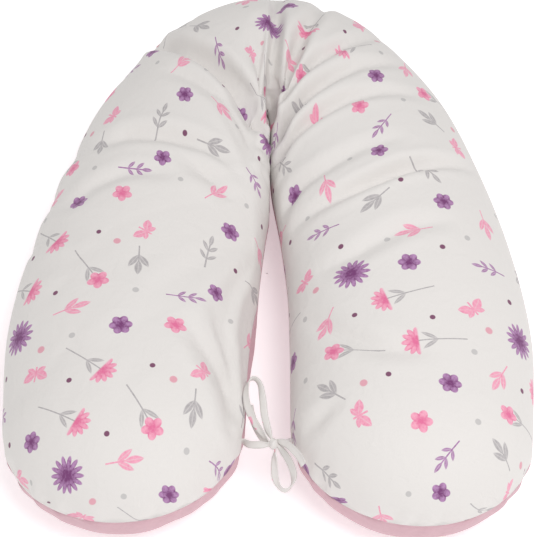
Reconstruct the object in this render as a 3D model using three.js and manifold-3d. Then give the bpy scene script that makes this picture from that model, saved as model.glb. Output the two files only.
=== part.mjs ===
// A U-shaped nursing pillow: a fibre-filled inner pillow in a printed cotton cover that closes with a zip
// round the outside of the bend, and two fabric ties that hold the arm ends together in a bow.
// Millimetres, +Z up. The pillow lies on z = 0 with the bend at +Y, the arm ends at -Y and the origin
// under the middle of its bounding box.
import * as THREE from "three";
import { mergeVertices } from "three/addons/utils/BufferGeometryUtils.js";
import Module from "manifold-3d";

const wasm = await Module();
wasm.setup();

// ---- Driving dimensions ----
const HEIGHT = 178; // of the lying pillow
const SEAM_HEIGHT = 89; // of the side seam above the surface it lies on
const SEAM_LIFT = -14; // how far the seam sinks along the arms, which are fuller above it
const BEND_CENTRE_Y = 228.5; // centre of the round outside of the bend
const BEND_RADIUS = 199; // outside radius of the bend, at the seam
const CAP_LENGTH = 129; // how far a round arm end reaches past its last full rib
const CLOTH = 1; // cover cloth, drawn thick enough to be a solid
const CASING = 0.8; // inner casing cloth
const GAP = 0.4; // between one layer and the next
const TOP_ROUND = 2.1; // exponent of the upper half of a cross-section
const BOTTOM_ROUND = 2.4; // and of the lower half, which the pillow's weight squares off
const FLATTEN = 1.08; // how far the lower half would reach below the floor if nothing stopped it

// One arm's ribs, from the arm end to the bend: outer x, outer y, inner x, inner y of the seam.
const ARM_RIBS = [
  [-312, -311, -28, -285],
  [-325, -180, -28, -186],
  [-313, -38, -26, -98],
  [-284, 97, -17, -8],
  [-242, 220, -5, 74],
];
// The bend's ribs: degrees from the middle of the bend, and the inner x and y of the seam's crease.
const BEND_RIBS = [
  [58, -3, 150],
  [29, -3, 190],
  [0, 0, 214],
];

const ARM_STEPS = 9; // stations along each arm
const BEND_STEPS = 20; // stations round the bend
const CAP_STEPS = 4; // stations on each round end
// Degrees over the top of a cross-section, from the outer seam to the inner one; the underside mirrors them.
const TOP_TURNS = [0, 9, 26, 47, 68, 90, 112, 133, 156, 180];
const UNDER_TURNS = TOP_TURNS.map((turn) => 360 - turn).reverse();

// Zip, round the outside of the bend
const ZIP_HALF_ANGLE = 52; // degrees each side of the middle
const ZIP_SETBACK = 8; // room behind the zip, between the cover and the inner pillow
const TAPE_RADIUS = BEND_RADIUS - 3; // middle of the zip tapes
const TAPE_THICKNESS = 0.7;
const TAPE_WIDTH = 11;
const COIL_RADIAL = 2;
const COIL_WIDTH = 1.5;
const COIL_FROM_MIDDLE = 0.7; // half the space between the two coils
const SLOT_HALF = 5.5; // half the height of the opening between the two panels' edges
const SLIDER_LENGTH = 11;
const SLIDER_WIDTH = 9;
const SLIDER_ANGLE = 48.5; // where the slider rests when the zip is closed
const PULL_LENGTH = 24;

// Ties
const TIE_WIDTH = 9;
const TIE_THICKNESS = 2.2;
const KNOT = new THREE.Vector3(8, -328, 90);
const KNOT_RADIUS = 7;

const radians = THREE.MathUtils.degToRad;

// ---- Helpers ----
function material(hex, roughness, metalness = 0) {
  return new THREE.MeshStandardMaterial({ color: hex, roughness, metalness });
}

const printedCotton = material(0xece8e6, 0.9);
const pinkCotton = material(0xdba7ae, 0.9);
const casingCloth = material(0xf4f2ee, 0.9);
const fibre = material(0xfafafa, 1);
const zipTape = material(0xe9c3c9, 0.85);
const zipNylon = material(0xe3b4bb, 0.45);
const zipMetal = material(0xc9cbd0, 0.35, 0.9);
const labelSatin = material(0xfbfbf8, 0.6);

const pillow = new THREE.Group();

function addPart(name, geometry, finish) {
  const mesh = new THREE.Mesh(geometry, finish);
  mesh.name = name;
  pillow.add(mesh);
  return mesh;
}

// A closed geometry as a manifold-3d solid.
function solid(geometry) {
  const bare = new THREE.BufferGeometry();
  const source = geometry.index ? geometry.toNonIndexed() : geometry;
  bare.setAttribute("position", source.getAttribute("position").clone());
  const merged = mergeVertices(bare, 1e-4);
  return new wasm.Manifold(
    new wasm.Mesh({
      numProp: 3,
      vertProperties: new Float32Array(merged.getAttribute("position").array),
      triVerts: new Uint32Array(merged.index.array),
    }),
  );
}

function geometryOf(manifold) {
  const mesh = manifold.getMesh();
  const made = new THREE.BufferGeometry();
  made.setAttribute("position", new THREE.BufferAttribute(new Float32Array(mesh.vertProperties), 3));
  made.setIndex(new THREE.BufferAttribute(new Uint32Array(mesh.triVerts), 1));
  return made;
}

function closedGeometry(points, triangles) {
  const made = new THREE.BufferGeometry();
  made.setAttribute("position", new THREE.Float32BufferAttribute(points.flat(), 3));
  made.setIndex(triangles.flat());
  return made;
}

// ---- The pillow's form ----
// Both seam outlines, from the left arm to the right one, as curves with the same parameter.
function seamCurves() {
  const bend = BEND_RIBS.map(([angle, x, y]) => [
    -BEND_RADIUS * Math.sin(radians(angle)),
    BEND_CENTRE_Y + BEND_RADIUS * Math.cos(radians(angle)),
    x,
    y,
  ]);
  const left = [...ARM_RIBS, ...bend];
  const right = left
    .slice(0, -1)
    .reverse()
    .map(([ox, oy, ix, iy]) => [-ox, oy, -ix, iy]);
  const ribs = [...left, ...right];
  const outer = ribs.map(([x, y]) => new THREE.Vector3(x, y, 0));
  const inner = ribs.map((rib) => new THREE.Vector3(rib[2], rib[3], 0));
  return {
    outer: new THREE.CatmullRomCurve3(outer, false, "catmullrom", 0.5),
    inner: new THREE.CatmullRomCurve3(inner, false, "catmullrom", 0.5),
    ribs: ribs.length,
  };
}

const seam = seamCurves();
const BEND_START = ARM_RIBS.length / (seam.ribs - 1); // curve parameter where the left arm meets the bend

// The outer seam: a true arc round the bend, so that the zip's slider can turn about one axis.
function outerSeam(u) {
  const turn = (0.5 - u) / (0.5 - BEND_START);
  if (Math.abs(turn) > 1) return seam.outer.getPoint(u);
  const angle = radians(turn * BEND_RIBS[0][0]);
  const y = BEND_CENTRE_Y + BEND_RADIUS * Math.cos(angle);
  return new THREE.Vector3(-BEND_RADIUS * Math.sin(angle), y, 0);
}

// 1 round the bend, where the zip is, and 0 along the arms.
function nearBend(u) {
  const outside = Math.abs(u - 0.5) - (0.5 - BEND_START);
  return 1 - THREE.MathUtils.smoothstep(outside, 0.01, 0.08);
}

// A station of the pillow: the seam's outer and inner points, its height, and the top and bottom there.
function station(outer, inner, inset, setback, full, lift) {
  const across = inner.clone().sub(outer).normalize();
  const seamZ = SEAM_HEIGHT + SEAM_LIFT * lift;
  return {
    outer: outer.clone().addScaledVector(across, inset),
    inner: inner.clone().addScaledVector(across, -inset),
    setback,
    seamZ,
    top: (HEIGHT - seamZ) * full ** 0.7 - inset,
    bottom: seamZ * FLATTEN * full ** 0.6 - inset,
    floor: inset,
  };
}

// All stations of the form that lies the given distance inside the cover's outside.
function stations(inset, zipSetback) {
  const list = [];
  const bendSpan = 0.5 - BEND_START;
  const along = [];
  for (let i = 0; i < ARM_STEPS; i++) along.push((i / ARM_STEPS) * BEND_START);
  for (let i = 0; i <= BEND_STEPS; i++) along.push(BEND_START + (2 * bendSpan * i) / BEND_STEPS);
  for (let i = 1; i <= ARM_STEPS; i++) along.push(1 - BEND_START + (i / ARM_STEPS) * BEND_START);
  const body = along.map((u) => {
    const lift = THREE.MathUtils.smoothstep(Math.abs(u - 0.5), 0.16, 0.36);
    return station(
      outerSeam(u),
      seam.inner.getPoint(u),
      inset,
      zipSetback * nearBend(u),
      1,
      lift,
    );
  });
  const cap = (u, next) => {
    const outer = seam.outer.getPoint(u);
    const inner = seam.inner.getPoint(u);
    const middle = outer.clone().add(inner).multiplyScalar(0.5);
    const half = outer.clone().sub(inner).multiplyScalar(0.5);
    const before = seam.outer.getPoint(next).add(seam.inner.getPoint(next)).multiplyScalar(0.5);
    const ahead = middle.clone().sub(before).normalize();
    const rows = [];
    for (let i = 1; i <= CAP_STEPS; i++) {
      const turn = (i / CAP_STEPS) * (Math.PI / 2);
      const reach = (CAP_LENGTH - inset) * Math.sin(turn);
      const width = i === CAP_STEPS ? 0 : Math.cos(turn);
      const centre = middle.clone().addScaledVector(ahead, reach);
      const lift = THREE.MathUtils.smoothstep(0.5 + 0.12 * Math.sin(turn), 0.16, 0.36);
      const a = centre.clone().addScaledVector(half, width);
      const b = centre.clone().addScaledVector(half, -width);
      if (width === 0) rows.push({ pole: centre, seamZ: SEAM_HEIGHT + SEAM_LIFT * lift });
      else rows.push(station(a, b, inset, 0, width, lift));
    }
    return rows;
  };
  list.push(...cap(0, 0.02).reverse(), ...body, ...cap(1, 0.98));
  return list;
}

// A point of a station's cross-section. Turn 0 is the outer seam, half a turn the inner seam.
function sectionPoint(s, turn, seamGap) {
  const c = Math.cos(turn);
  const v = Math.sin(turn);
  const upper = turn <= Math.PI + 1e-9;
  const round = upper ? TOP_ROUND : BOTTOM_ROUND;
  const across = Math.sign(c) * Math.abs(c) ** (2 / round);
  const rise = Math.abs(v) ** (2 / round);
  const middle = s.outer.clone().add(s.inner).multiplyScalar(0.5);
  const half = s.outer.clone().sub(s.inner).multiplyScalar(0.5);
  const outwards = half.length() - (across > 0 ? s.setback : 0);
  const at = middle.addScaledVector(half.normalize(), across * outwards);
  const z = upper ? s.seamZ + s.top * rise : s.seamZ - s.bottom * rise;
  return [at.x, at.y, Math.max(z, s.floor) + seamGap];
}

// Rows of points over the stations; a pole is a row of one point.
function rowsOf(list, turns, seamGap) {
  return list.map((s) =>
    s.pole
      ? [[s.pole.x, s.pole.y, s.seamZ + seamGap]]
      : turns.map((turn) => sectionPoint(s, turn, seamGap)),
  );
}

// Triangles of the quad between two rows at column j, where a row may be a pole.
function stitch(rowA, rowB, j, k) {
  if (rowA.length === 1) return [[rowA[0], rowB[j], rowB[k]]];
  if (rowB.length === 1) return [[rowA[j], rowB[0], rowA[k]]];
  return [
    [rowA[j], rowB[j], rowB[k]],
    [rowA[j], rowB[k], rowA[k]],
  ];
}

function facingOut(points, triangles) {
  const geometry = closedGeometry(points, triangles);
  let volume = 0;
  const [a, b, c] = [new THREE.Vector3(), new THREE.Vector3(), new THREE.Vector3()];
  for (const [i, j, k] of triangles) {
    a.fromArray(points[i]);
    b.fromArray(points[j]);
    c.fromArray(points[k]);
    volume += a.dot(b.cross(c));
  }
  if (volume > 0) return geometry;
  return closedGeometry(
    points,
    triangles.map(([i, j, k]) => [i, k, j]),
  );
}

function numberRows(rows, points) {
  return rows.map((row) =>
    row.map((p) => {
      points.push(p);
      return points.length - 1;
    }),
  );
}

// A solid body of the pillow's form.
function filledForm(inset) {
  const turns = [...TOP_TURNS.slice(0, -1), ...UNDER_TURNS.slice(0, -1)].map(radians);
  const points = [];
  const rows = numberRows(rowsOf(stations(inset, ZIP_SETBACK), turns, 0), points);
  const triangles = [];
  for (let i = 0; i + 1 < rows.length; i++)
    for (let j = 0; j < turns.length; j++)
      triangles.push(...stitch(rows[i], rows[i + 1], j, (j + 1) % turns.length));
  return facingOut(points, triangles);
}

// One cloth panel, upper or lower, of the given thickness, open at the seam.
function panel(upper, inset, thickness, zipSetback) {
  const turns = (upper ? TOP_TURNS : UNDER_TURNS).map(radians);
  const last = turns.length - 1;
  const seamGap = (upper ? 1 : -1) * (GAP / 2);
  const points = [];
  const outside = numberRows(rowsOf(stations(inset, zipSetback), turns, seamGap), points);
  const inside = numberRows(rowsOf(stations(inset + thickness, zipSetback), turns, seamGap), points);
  const floor = upper ? -Infinity : inset;
  for (const p of points) p[2] = Math.max(p[2], floor);
  const triangles = [];
  for (let i = 0; i + 1 < outside.length; i++) {
    for (let j = 0; j < last; j++) {
      triangles.push(...stitch(outside[i], outside[i + 1], j, j + 1));
      triangles.push(...stitch(inside[i], inside[i + 1], j, j + 1).map(([a, b, c]) => [a, c, b]));
    }
    for (const j of [0, last]) {
      const [a, b] = [outside[i][j] ?? outside[i][0], outside[i + 1][j] ?? outside[i + 1][0]];
      const [c, d] = [inside[i + 1][j] ?? inside[i + 1][0], inside[i][j] ?? inside[i][0]];
      const rim = [
        [a, d, c],
        [a, c, b],
      ];
      triangles.push(...(j === 0 ? rim : rim.map(([p, q, r]) => [p, r, q])));
    }
  }
  return facingOut(points, triangles);
}

// ---- Pieces that follow the round outside of the bend ----
// A band of the bend between two radii, two heights and two angles from the middle of the bend.
function bendBand(innerRadius, outerRadius, low, high, fromAngle, toAngle, segments) {
  const start = radians(90 + fromAngle);
  const end = radians(90 + toAngle);
  const outline = new THREE.Shape();
  outline.absarc(0, 0, outerRadius, start, end, false);
  outline.absarc(0, 0, innerRadius, end, start, true);
  const band = new THREE.ExtrudeGeometry(outline, {
    depth: high - low,
    bevelEnabled: false,
    curveSegments: segments,
  });
  return band.translate(0, BEND_CENTRE_Y, low);
}

// A box with its middle on the line outwards from the bend's centre, given as radial, tangential, z sizes.
function bendBox(radius, tangent, z, radialSize, tangentSize, zSize) {
  return new THREE.BoxGeometry(tangentSize, radialSize, zSize).translate(tangent, radius, z);
}

// ---- Inner pillow ----
const casingInset = CLOTH + GAP;
const fillingInset = casingInset + CASING + GAP;
addPart("fibre_filling", filledForm(fillingInset), fibre);
addPart("inner_casing_top", panel(true, casingInset, CASING, ZIP_SETBACK), casingCloth);
addPart("inner_casing_bottom", panel(false, casingInset, CASING, ZIP_SETBACK), casingCloth);

// ---- Cover ----
const zipSlot = solid(
  bendBand(
    TAPE_RADIUS - 8,
    BEND_RADIUS + 8,
    SEAM_HEIGHT - SLOT_HALF,
    SEAM_HEIGHT + SLOT_HALF,
    -ZIP_HALF_ANGLE - 1.5,
    ZIP_HALF_ANGLE + 1.5,
    24,
  ),
);
const coverTop = solid(panel(true, 0, CLOTH, 0)).subtract(zipSlot);
const coverBottom = solid(panel(false, 0, CLOTH, 0)).subtract(zipSlot);
addPart("cover_top_panel", geometryOf(coverTop), printedCotton);
addPart("cover_bottom_panel", geometryOf(coverBottom), pinkCotton);

// ---- Zip: two tapes, two coils, end stops, slider and pull ----
const coilFar = COIL_FROM_MIDDLE + COIL_WIDTH;
for (const [side, sign] of [
  ["upper", 1],
  ["lower", -1],
]) {
  const span = (near, far) => [sign * near, sign * far].sort((a, b) => a - b).map((z) => SEAM_HEIGHT + z);
  const [tapeLow, tapeHigh] = span(coilFar + 0.3, coilFar + 0.3 + TAPE_WIDTH);
  const tape = bendBand(
    TAPE_RADIUS - TAPE_THICKNESS / 2,
    TAPE_RADIUS + TAPE_THICKNESS / 2,
    tapeLow,
    tapeHigh,
    -ZIP_HALF_ANGLE - 3,
    ZIP_HALF_ANGLE + 3,
    24,
  );
  addPart("zip_tape_" + side, tape, zipTape);
  const [coilLow, coilHigh] = span(COIL_FROM_MIDDLE, coilFar);
  const coil = bendBand(
    TAPE_RADIUS - COIL_RADIAL / 2,
    TAPE_RADIUS + COIL_RADIAL / 2,
    coilLow,
    coilHigh,
    -ZIP_HALF_ANGLE,
    ZIP_HALF_ANGLE,
    28,
  );
  addPart("zip_coil_" + side, coil, zipNylon);
  const [stopLow, stopHigh] = span(COIL_FROM_MIDDLE, coilFar + 0.1);
  const topStop = bendBand(
    TAPE_RADIUS - COIL_RADIAL / 2,
    TAPE_RADIUS + COIL_RADIAL / 2,
    stopLow,
    stopHigh,
    -ZIP_HALF_ANGLE - 0.8,
    -ZIP_HALF_ANGLE - 0.1,
    2,
  );
  addPart("zip_top_stop_" + side, topStop, zipMetal);
}
const bottomStop = bendBand(
  TAPE_RADIUS - COIL_RADIAL / 2,
  TAPE_RADIUS + COIL_RADIAL / 2,
  SEAM_HEIGHT - coilFar,
  SEAM_HEIGHT + coilFar,
  ZIP_HALF_ANGLE + 0.1,
  ZIP_HALF_ANGLE + 1,
  2,
);
addPart("zip_bottom_stop", bottomStop, zipMetal);

// Slider: an inner and an outer plate joined by a post between the coils, with flanges that keep the
// coils in and a bail outside for the pull. It is built at the middle of the bend and turned to its rest.
const PLATE = 1.1;
const coilClear = COIL_RADIAL / 2 + 0.4;
const innerPlateRadius = TAPE_RADIUS - coilClear - PLATE / 2;
const outerPlateRadius = TAPE_RADIUS + coilClear + PLATE / 2;
const FLANGE = 0.6;
const flangeZ = SLIDER_WIDTH / 2 - FLANGE / 2;
const flangeHeight = coilClear - TAPE_THICKNESS / 2 - 0.3;
const bailHeight = 2.6;
const bailRadius = outerPlateRadius + PLATE / 2;
const sliderPieces = [
  bendBox(innerPlateRadius, 0, 0, PLATE, SLIDER_LENGTH, SLIDER_WIDTH),
  bendBox(outerPlateRadius, 0, 0, PLATE, SLIDER_LENGTH, SLIDER_WIDTH),
  bendBox(TAPE_RADIUS, 4, 0, 2 * coilClear + PLATE, 2, 0.9),
  bendBox(bailRadius + bailHeight / 2 - 0.1, -3, 0, bailHeight + 0.2, 1, 2),
  bendBox(bailRadius + bailHeight / 2 - 0.1, 3, 0, bailHeight + 0.2, 1, 2),
  bendBox(bailRadius + bailHeight, 0, 0, 0.8, 7, 2),
];
for (const sign of [1, -1]) {
  const outerFlange = TAPE_RADIUS + coilClear - flangeHeight / 2;
  const innerFlange = TAPE_RADIUS - coilClear + flangeHeight / 2;
  sliderPieces.push(bendBox(outerFlange, 0, sign * flangeZ, flangeHeight + 0.2, SLIDER_LENGTH, FLANGE));
  sliderPieces.push(bendBox(innerFlange, 0, sign * flangeZ, flangeHeight + 0.2, SLIDER_LENGTH, FLANGE));
}
const slider = sliderPieces.map(solid).reduce((whole, piece) => whole.add(piece));
const atSlider = new THREE.Group();
atSlider.position.set(0, BEND_CENTRE_Y, SEAM_HEIGHT);
atSlider.rotation.z = -radians(SLIDER_ANGLE);
pillow.add(atSlider);
const sliderMesh = new THREE.Mesh(geometryOf(slider), zipMetal);
sliderMesh.name = "zip_slider";
atSlider.add(sliderMesh);

// Pull: a rounded tab whose crossbar turns in the slider's bail. It lies along the zip at rest.
const CROSSBAR = 1.2;
const pivotRadius = bailRadius + 1.2;
const pullHalf = 2.6;
const pullOutline = new THREE.Shape();
pullOutline.moveTo(-CROSSBAR / 2, -pullHalf);
pullOutline.lineTo(PULL_LENGTH - pullHalf, -pullHalf);
pullOutline.absarc(PULL_LENGTH - pullHalf, 0, pullHalf, -Math.PI / 2, Math.PI / 2, false);
pullOutline.lineTo(-CROSSBAR / 2, pullHalf);
pullOutline.closePath();
const bailWindow = new THREE.Path();
bailWindow.moveTo(CROSSBAR / 2, -1.4);
bailWindow.lineTo(CROSSBAR / 2, 1.4);
bailWindow.lineTo(4.6, 1.4);
bailWindow.lineTo(4.6, -1.4);
bailWindow.closePath();
const gripHole = new THREE.Path();
gripHole.absellipse(PULL_LENGTH - 8, 0, 4, 1, 0, 2 * Math.PI, true);
pullOutline.holes.push(bailWindow, gripHole);
const pullPlate = new THREE.ExtrudeGeometry(pullOutline, {
  depth: 1,
  bevelEnabled: false,
  curveSegments: 8,
}).translate(0, 0, -0.5);
pullPlate.rotateX(Math.PI / 2); // its width now runs up and its length along the zip
const pullMesh = new THREE.Mesh(pullPlate, zipMetal);
pullMesh.name = "zip_pull";
pullMesh.position.set(0, pivotRadius, 0);
atSlider.add(pullMesh);

// ---- Care label, sewn into the seam past the zip's end and hanging over the lower panel ----
const label = new THREE.Mesh(new THREE.BoxGeometry(18, 0.6, 28), labelSatin);
label.name = "care_label";
const atLabel = new THREE.Group();
atLabel.position.set(0, BEND_CENTRE_Y, SEAM_HEIGHT - 14);
atLabel.rotation.z = radians(ZIP_HALF_ANGLE + 3.5);
label.position.set(0, BEND_RADIUS + 0.7, 0);
atLabel.add(label);
pillow.add(atLabel);

// ---- Ties ----
// A flat fabric tape along a route, its width held as upright as the route allows.
function tape(route, steps) {
  const curve = new THREE.CatmullRomCurve3(route.map((p) => new THREE.Vector3(...p)));
  const around = 8;
  const points = [];
  const triangles = [];
  for (let i = 0; i <= steps; i++) {
    const at = curve.getPointAt(i / steps);
    const along = curve.getTangentAt(i / steps);
    const thick = along.clone().cross(new THREE.Vector3(0, 0, 1)).normalize();
    const wide = thick.clone().cross(along).normalize();
    for (let j = 0; j < around; j++) {
      const turn = (2 * Math.PI * j) / around;
      const p = at.clone();
      p.addScaledVector(thick, (TIE_THICKNESS / 2) * Math.cos(turn));
      p.addScaledVector(wide, (TIE_WIDTH / 2) * Math.sin(turn));
      points.push(p.toArray());
    }
  }
  for (let i = 0; i < steps; i++)
    for (let j = 0; j < around; j++) {
      const [a, b] = [i * around + j, i * around + ((j + 1) % around)];
      triangles.push([a, b, b + around], [a, b + around, a + around]);
    }
  const end = steps * around;
  for (let j = 1; j + 1 < around; j++) triangles.push([0, j + 1, j], [end, end + j, end + j + 1]);
  return facingOut(points, triangles);
}

// Each tie's half of the knot, on its own side of the plane between them.
function halfKnot(sign) {
  const ball = solid(new THREE.SphereGeometry(KNOT_RADIUS, 10, 6).translate(...KNOT.toArray()));
  const side = new THREE.BoxGeometry(2 * KNOT_RADIUS, 4 * KNOT_RADIUS, 4 * KNOT_RADIUS);
  side.translate(KNOT.x + sign * (KNOT_RADIUS + GAP / 2), KNOT.y, KNOT.z);
  return ball.intersect(solid(side));
}

// Bar tacks: dense stitching that holds each tie in the seam at the inner edge of an arm end.
const TACK = 1.6;
const [capRow, armRow] = stations(0, 0).slice(CAP_STEPS - 1);
const tackSeam = capRow.inner.clone().lerp(armRow.inner, 0.4);
const tackX = tackSeam.x + GAP + TACK / 2;
const tieY = tackSeam.y;
const tieZ = capRow.seamZ;
const tieStartX = tackX + TACK / 2 + GAP;
for (const [side, sign] of [
  ["left", 1],
  ["right", -1],
]) {
  const tack = new THREE.BoxGeometry(TACK, 3.4, TIE_WIDTH + 2).translate(sign * tackX, tieY, tieZ);
  addPart("bar_tack_" + side, tack, printedCotton);
}

const LEFT_SPAN = [
  [tieStartX, tieY, tieZ],
  [tieStartX + 3, tieY, tieZ],
  [-24, -323.5, 79],
  [-10, -326, 86],
  [4, -328, 89],
];
const LEFT_LOOP = [
  [4.5, -326, 93],
  [0, -311, 96],
  [-4, -293, 99],
  [-6, -273, 102],
  [-9, -255, 104],
  [-15, -245, 104],
  [-22, -251, 103],
  [-24, -268, 101],
  [-20, -287, 98],
  [-11, -307, 94],
  [3, -328, 90],
];
const LEFT_TAIL = [
  [4, -329, 87],
  [-7, -315, 85],
  [-15, -299, 85],
  [-20, -283, 87],
];
const RIGHT_SPAN = [
  [-tieStartX, tieY, tieZ],
  [-tieStartX - 3, tieY, tieZ],
  [25, -324, 80],
  [19, -326, 84],
  [12, -327, 89],
];
const RIGHT_LOOP = [
  [11, -330, 89],
  [9.8, -343, 82],
  [9.5, -357, 72],
  [12, -367, 65],
  [20, -373, 62],
  [28, -369, 64],
  [31, -359, 70],
  [27, -347, 78],
  [21, -338, 84],
  [12, -329, 88],
];
const RIGHT_TAIL = [
  [12, -327, 93],
  [21, -333, 99],
  [29, -343, 105],
  [36, -355, 110],
  [42, -369, 111],
];
const STRAIGHT_STEPS = 5;
const LOOP_STEPS = 22;

function tie(sign, routes) {
  return routes
    .map((route) => solid(tape(route, route.length > 6 ? LOOP_STEPS : STRAIGHT_STEPS)))
    .reduce((whole, piece) => whole.add(piece), halfKnot(sign));
}

addPart("tie_left", geometryOf(tie(-1, [LEFT_SPAN, LEFT_LOOP, LEFT_TAIL])), printedCotton);
addPart("tie_right", geometryOf(tie(1, [RIGHT_SPAN, RIGHT_LOOP, RIGHT_TAIL])), printedCotton);

export default pillow;
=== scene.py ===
# %% [markdown]
# # A U-shaped nursing pillow, step by step
# The real object is a long pillow of two crescent-shaped cotton panels, stuffed with soft fibre, bent into a
# U and held by a bow. This lesson makes it the way it is sewn: cut two flat panels, sew them together, fill
# them, and let the cloth find its own wrinkles.

# %% Load the frame
import math

import bmesh
import bpy
from mathutils import Matrix, Vector


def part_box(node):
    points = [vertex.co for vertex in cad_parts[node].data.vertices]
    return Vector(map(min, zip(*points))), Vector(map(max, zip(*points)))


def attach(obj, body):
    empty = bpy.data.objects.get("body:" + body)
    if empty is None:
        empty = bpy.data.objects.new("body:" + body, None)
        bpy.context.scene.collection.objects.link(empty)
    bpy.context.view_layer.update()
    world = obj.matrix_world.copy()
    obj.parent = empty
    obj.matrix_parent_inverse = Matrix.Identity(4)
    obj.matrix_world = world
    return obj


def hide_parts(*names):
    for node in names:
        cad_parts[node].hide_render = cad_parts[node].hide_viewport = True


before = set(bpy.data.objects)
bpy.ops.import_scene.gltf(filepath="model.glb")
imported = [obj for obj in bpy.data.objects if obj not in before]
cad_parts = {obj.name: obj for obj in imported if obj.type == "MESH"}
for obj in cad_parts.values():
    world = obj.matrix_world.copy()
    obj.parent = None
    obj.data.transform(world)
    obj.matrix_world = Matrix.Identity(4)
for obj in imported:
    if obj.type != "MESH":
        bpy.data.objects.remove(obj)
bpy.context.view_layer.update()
MM = 0.001
radians = math.radians
cover_top_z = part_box("cover_top_panel")[1][2]
cover_bottom_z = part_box("cover_bottom_panel")[0][2]

# %% [markdown]
# ## Camera, floor and light
# The pillow lies flat and is seen from the arm ends, looking down at about 50 degrees. A long lens keeps the
# far bend nearly as large as the near arm ends. Both follow from a real set-up, so they are given as one: how
# far away the camera stands, how steeply it looks down and the point it looks at.

# %% Camera
CAMERA_DISTANCE = 1.8
CAMERA_ELEVATION = 50.5
CAMERA_LENS = 94.2  # mm, on a 36 mm wide sensor
look_at = Vector((0.004, -0.0655, 0.09))

camera_data = bpy.data.cameras.new("camera")
camera_data.lens = CAMERA_LENS
camera = bpy.data.objects.new("camera", camera_data)
bpy.context.scene.collection.objects.link(camera)
back = Vector((0, -math.cos(radians(CAMERA_ELEVATION)), math.sin(radians(CAMERA_ELEVATION))))
camera.location = look_at + back * CAMERA_DISTANCE
camera.rotation_euler = (radians(90 - CAMERA_ELEVATION), 0, 0)
bpy.context.scene.camera = camera
print("camera at", [round(x, 3) for x in camera.location])


# %% Colours and nodes
# A hex colour is sRGB, and a shader wants linear light, so one function turns one into the other. A second
# one gives a thing its settings, and a third adds a node with its settings and its links. Every material
# below is written with those.
def colour(hex_value):
    channels = [int(hex_value[i : i + 2], 16) / 255 for i in (1, 3, 5)]
    linear = [c / 12.92 if c <= 0.04045 else ((c + 0.055) / 1.055) ** 2.4 for c in channels]
    return (*linear, 1)


def set_up(thing, settings):
    for name, value in settings.items():
        setattr(thing, name, value)
    return thing


def node(tree, kind, inputs=None, **settings):
    made = set_up(tree.nodes.new(kind), settings)
    for name, value in (inputs or {}).items():
        socket = made.inputs[name]
        if isinstance(value, bpy.types.Node):
            value = value.outputs[0]
        if isinstance(value, bpy.types.NodeSocket):
            tree.links.new(value, socket)
        else:
            socket.default_value = value
    return made


def new_material(name):
    made = bpy.data.materials.new(name)
    made.use_nodes = True
    made.node_tree.nodes.clear()
    return made, made.node_tree


def finish_material(tree, shader):
    node(tree, "ShaderNodeOutputMaterial", {"Surface": shader.outputs["BSDF"]})


# %% Curves
def spline(points, u):
    """A point of the smooth curve through the points, u from 0 to 1."""
    at = min(max(u, 0), 1) * (len(points) - 1)
    i = min(int(at), len(points) - 2)
    t = at - i
    p1, p2 = Vector(points[i]), Vector(points[i + 1])
    p0 = Vector(points[i - 1]) if i > 0 else 2 * p1 - p2
    p3 = Vector(points[i + 2]) if i + 2 < len(points) else 2 * p2 - p1
    bend = 2 * p0 - 5 * p1 + 4 * p2 - p3
    return 0.5 * (2 * p1 + (p2 - p0) * t + bend * t * t + (3 * p1 - p0 - 3 * p2 + p3) * t**3)


def smoothstep(low, high, x):
    t = min(max((x - low) / (high - low), 0), 1)
    return t * t * (3 - 2 * t)


# %% Mesh helpers
def add_piece(name, shape, finish, smooth=True):
    mesh = bpy.data.meshes.new(name)
    shape.to_mesh(mesh)
    shape.free()
    for face in mesh.polygons:
        face.use_smooth = smooth
    if finish:
        mesh.materials.append(finish)
    piece = bpy.data.objects.new(name, mesh)
    bpy.context.scene.collection.objects.link(piece)
    return piece


def add_modifier(piece, kind, **settings):
    return set_up(piece.modifiers.new(kind.title(), kind), settings)


def bake(piece):
    """Puts what the modifiers make of a piece into its mesh and takes the modifiers off."""
    graph = bpy.context.evaluated_depsgraph_get()
    baked = bpy.data.meshes.new_from_object(piece.evaluated_get(graph))
    piece.modifiers.clear()
    piece.data = baked


# %% Floor and light
# White paper under the pillow, a soft light above it on the right, a wider one on the left and a bright even
# sky: the shadows stay pale, so the folds are drawn by soft shading alone. Paper lit from behind glows a
# little, and that keeps the ground white.
FLOOR_HALF = 30  # m
PAPER_GLOW = 0.32
SKY_GLOW = 0.6


def studio_paper():
    made, tree = new_material("white_studio_paper")
    paper = {
        "Base Color": colour("#fdfdfd"),
        "Roughness": 0.9,
        "Emission Color": colour("#ffffff"),
        "Emission Strength": PAPER_GLOW,
    }
    finish_material(tree, node(tree, "ShaderNodeBsdfPrincipled", paper))
    return made


floor_shape = bmesh.new()
bmesh.ops.create_grid(floor_shape, x_segments=2, y_segments=2, size=FLOOR_HALF)
floor = add_piece("floor", floor_shape, studio_paper())

world = bpy.data.worlds.new("studio_sky")
world.use_nodes = True
world.node_tree.nodes.clear()
sky = node(world.node_tree, "ShaderNodeBackground", {"Color": colour("#ffffff"), "Strength": SKY_GLOW})
node(world.node_tree, "ShaderNodeOutputWorld", {"Surface": sky.outputs["Background"]})
bpy.context.scene.world = world
bpy.context.scene.view_settings.view_transform = "Standard"


def soft_light(name, power, size, place):
    lamp = bpy.data.lights.new(name, "AREA")
    lamp.energy = power
    lamp.size = size
    made = bpy.data.objects.new(name, lamp)
    made.location = place
    made.rotation_euler = (look_at - Vector(place)).to_track_quat("-Z", "Y").to_euler()
    bpy.context.scene.collection.objects.link(made)


soft_light("key", power=21, size=1.0, place=(0.6, -0.8, 2.0))
soft_light("fill", power=6, size=2.5, place=(-1.8, -1.4, 1.8))

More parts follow.
